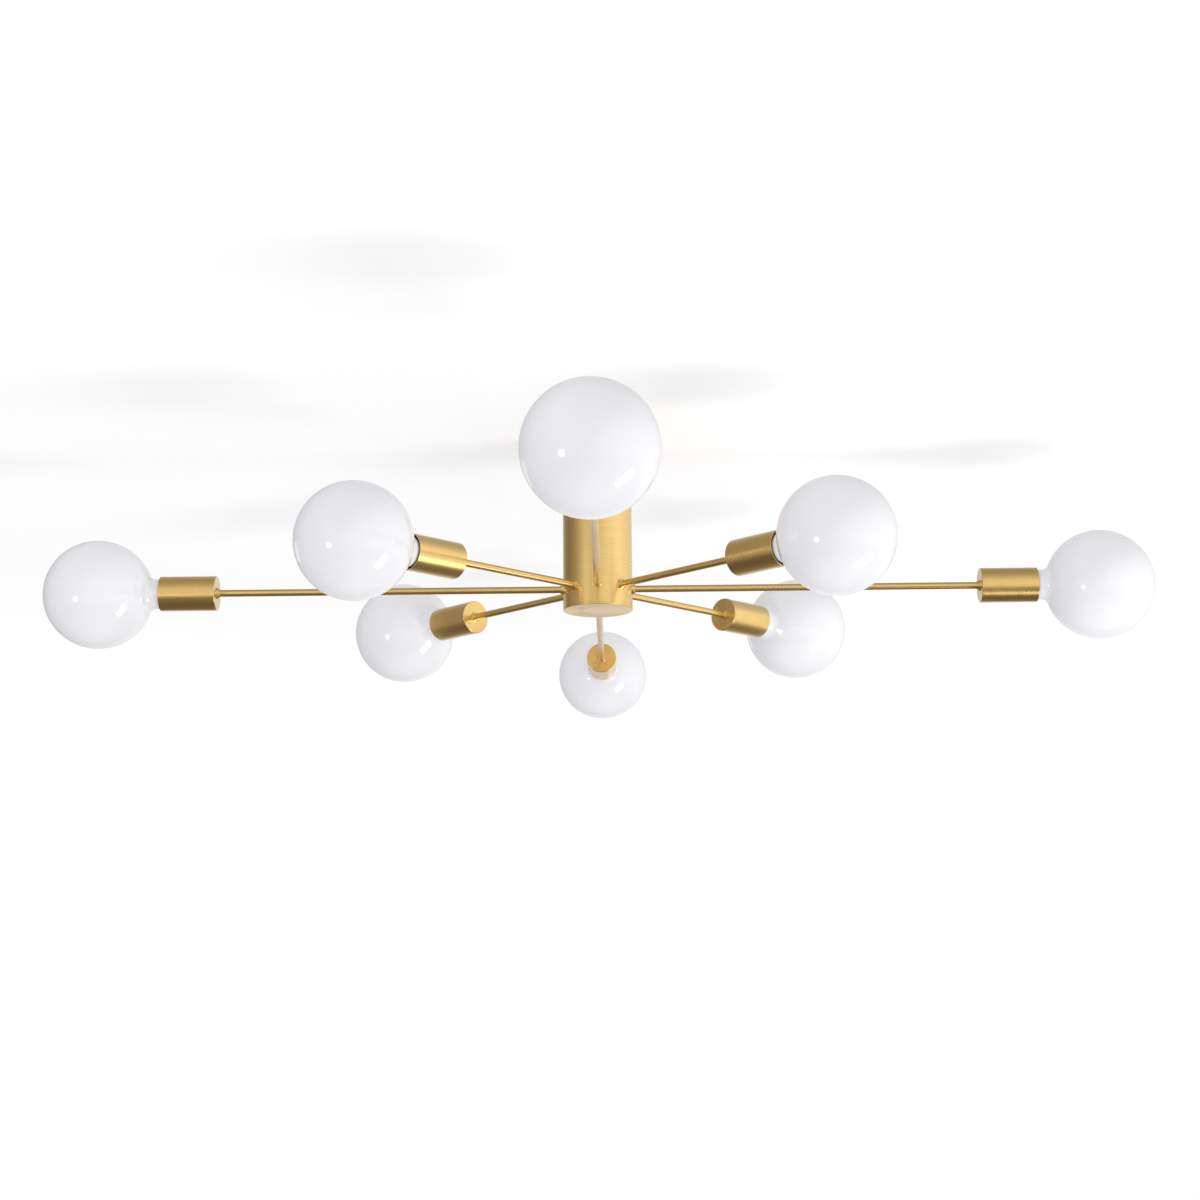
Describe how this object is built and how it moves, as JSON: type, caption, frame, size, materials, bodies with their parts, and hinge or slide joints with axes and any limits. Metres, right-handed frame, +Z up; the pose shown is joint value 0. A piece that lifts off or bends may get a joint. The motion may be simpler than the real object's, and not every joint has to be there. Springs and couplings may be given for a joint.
{
  "type": "multi arm chandelier",
  "caption": "Flush ceiling chandelier: a brushed brass cylinder with level radial arms, long and short in turn, each ending in a cup with an opal globe bulb that unscrews.",
  "frame": {"origin": "the ceiling plane on the body's axis, at the centre of the bracket's two slots", "axes": "+Z up, away from the room; arm 1 points to -Y and arm 3 to +X; the arms count anticlockwise seen from above"},
  "size_m": [1.28, 1.28, 0.2375],
  "materials": {
    "satin_brass": "satin brushed brass, fine turned lines",
    "bright_brass": "polished brass",
    "zinc_steel": "zinc-plated steel",
    "nickel_plate": "nickel-plated brass, satin",
    "tinned_copper": "tinned copper",
    "white_nylon": "natural nylon",
    "brown_insulation": "PVC insulation",
    "blue_insulation": "PVC insulation",
    "green_insulation": "PVC insulation with a yellow stripe",
    "black_phenolic": "moulded phenolic",
    "black_vitrite": "black glass insulator",
    "opal_glass": "glossy opal white glass"
  },
  "bodies": {
    "chandelier": {"ceiling_bracket": "zinc_steel", "body_tube": "satin_brass", "bottom_plate": "satin_brass", "body_screws": "bright_brass", "earth_screw": "zinc_steel", "earth_lug": "tinned_copper", "terminal_block": "white_nylon", "terminal_screws": "zinc_steel", "live_wires": "brown_insulation", "neutral_wires": "blue_insulation", "earth_wire": "green_insulation", "splice_sleeves": "white_nylon", "root_collars": "bright_brass", "root_nuts": "bright_brass", "cup_collars": "bright_brass", "cup_nuts": "bright_brass", "lampholder_bodies": "black_phenolic", "lampholder_shells": "nickel_plate", "lampholder_contacts": "bright_brass", "lampholder_screws": "zinc_steel", "arm_tube_1": "satin_brass", "arm_tube_2": "satin_brass", "arm_tube_3": "satin_brass", "arm_tube_4": "satin_brass", "arm_tube_5": "satin_brass", "arm_tube_6": "satin_brass", "arm_tube_7": "satin_brass", "arm_tube_8": "satin_brass", "cup_1": "satin_brass", "cup_2": "satin_brass", "cup_3": "satin_brass", "cup_4": "satin_brass", "cup_5": "satin_brass", "cup_6": "satin_brass", "cup_7": "satin_brass", "cup_8": "satin_brass"},
    "bulb_1_travel": {"bulb_tip_1": "black_vitrite"},
    "bulb_1": {"bulb_glass_1": "opal_glass", "bulb_cap_1": "nickel_plate"},
    "bulb_2_travel": {"bulb_tip_2": "black_vitrite"},
    "bulb_2": {"bulb_glass_2": "opal_glass", "bulb_cap_2": "nickel_plate"},
    "bulb_3_travel": {"bulb_tip_3": "black_vitrite"},
    "bulb_3": {"bulb_glass_3": "opal_glass", "bulb_cap_3": "nickel_plate"},
    "bulb_4_travel": {"bulb_tip_4": "black_vitrite"},
    "bulb_4": {"bulb_glass_4": "opal_glass", "bulb_cap_4": "nickel_plate"},
    "bulb_5_travel": {"bulb_tip_5": "black_vitrite"},
    "bulb_5": {"bulb_glass_5": "opal_glass", "bulb_cap_5": "nickel_plate"},
    "bulb_6_travel": {"bulb_tip_6": "black_vitrite"},
    "bulb_6": {"bulb_glass_6": "opal_glass", "bulb_cap_6": "nickel_plate"},
    "bulb_7_travel": {"bulb_tip_7": "black_vitrite"},
    "bulb_7": {"bulb_glass_7": "opal_glass", "bulb_cap_7": "nickel_plate"},
    "bulb_8_travel": {"bulb_tip_8": "black_vitrite"},
    "bulb_8": {"bulb_glass_8": "opal_glass", "bulb_cap_8": "nickel_plate"}
  },
  "joints": [
    {"name": "bulb_1_draw", "type": "slide", "parent": "chandelier", "child": "bulb_1_travel", "axis": [0, -1, 0], "range_m": [0, 0.01089]},
    {"name": "bulb_1_screw", "type": "hinge", "parent": "bulb_1_travel", "child": "bulb_1", "pos_m": [0, -0.469, -0.175], "axis": [0, -1, 0], "range_deg": [0, 1080]},
    {"name": "bulb_2_draw", "type": "slide", "parent": "chandelier", "child": "bulb_2_travel", "axis": [0.7071, -0.7071, 0], "range_m": [0, 0.01089]},
    {"name": "bulb_2_screw", "type": "hinge", "parent": "bulb_2_travel", "child": "bulb_2", "pos_m": [0.17253, -0.17253, -0.175], "axis": [0.7071, -0.7071, 0], "range_deg": [0, 1080]},
    {"name": "bulb_3_draw", "type": "slide", "parent": "chandelier", "child": "bulb_3_travel", "axis": [1, 0, 0], "range_m": [0, 0.01089]},
    {"name": "bulb_3_screw", "type": "hinge", "parent": "bulb_3_travel", "child": "bulb_3", "pos_m": [0.469, 0, -0.175], "axis": [1, 0, 0], "range_deg": [0, 1080]},
    {"name": "bulb_4_draw", "type": "slide", "parent": "chandelier", "child": "bulb_4_travel", "axis": [0.7071, 0.7071, 0], "range_m": [0, 0.01089]},
    {"name": "bulb_4_screw", "type": "hinge", "parent": "bulb_4_travel", "child": "bulb_4", "pos_m": [0.17253, 0.17253, -0.175], "axis": [0.7071, 0.7071, 0], "range_deg": [0, 1080]},
    {"name": "bulb_5_draw", "type": "slide", "parent": "chandelier", "child": "bulb_5_travel", "axis": [0, 1, 0], "range_m": [0, 0.01089]},
    {"name": "bulb_5_screw", "type": "hinge", "parent": "bulb_5_travel", "child": "bulb_5", "pos_m": [0, 0.469, -0.175], "axis": [0, 1, 0], "range_deg": [0, 1080]},
    {"name": "bulb_6_draw", "type": "slide", "parent": "chandelier", "child": "bulb_6_travel", "axis": [-0.7071, 0.7071, 0], "range_m": [0, 0.01089]},
    {"name": "bulb_6_screw", "type": "hinge", "parent": "bulb_6_travel", "child": "bulb_6", "pos_m": [-0.17253, 0.17253, -0.175], "axis": [-0.7071, 0.7071, 0], "range_deg": [0, 1080]},
    {"name": "bulb_7_draw", "type": "slide", "parent": "chandelier", "child": "bulb_7_travel", "axis": [-1, 0, 0], "range_m": [0, 0.01089]},
    {"name": "bulb_7_screw", "type": "hinge", "parent": "bulb_7_travel", "child": "bulb_7", "pos_m": [-0.469, 0, -0.175], "axis": [-1, 0, 0], "range_deg": [0, 1080]},
    {"name": "bulb_8_draw", "type": "slide", "parent": "chandelier", "child": "bulb_8_travel", "axis": [-0.7071, -0.7071, 0], "range_m": [0, 0.01089]},
    {"name": "bulb_8_screw", "type": "hinge", "parent": "bulb_8_travel", "child": "bulb_8", "pos_m": [-0.17253, -0.17253, -0.175], "axis": [-0.7071, -0.7071, 0], "range_deg": [0, 1080]}
  ],
  "couplings": [
    {"joint": "bulb_1_draw", "follows": "bulb_1_screw", "m_per_rad": 0.00057752},
    {"joint": "bulb_2_draw", "follows": "bulb_2_screw", "m_per_rad": 0.00057752},
    {"joint": "bulb_3_draw", "follows": "bulb_3_screw", "m_per_rad": 0.00057752},
    {"joint": "bulb_4_draw", "follows": "bulb_4_screw", "m_per_rad": 0.00057752},
    {"joint": "bulb_5_draw", "follows": "bulb_5_screw", "m_per_rad": 0.00057752},
    {"joint": "bulb_6_draw", "follows": "bulb_6_screw", "m_per_rad": 0.00057752},
    {"joint": "bulb_7_draw", "follows": "bulb_7_screw", "m_per_rad": 0.00057752},
    {"joint": "bulb_8_draw", "follows": "bulb_8_screw", "m_per_rad": 0.00057752}
  ]
}
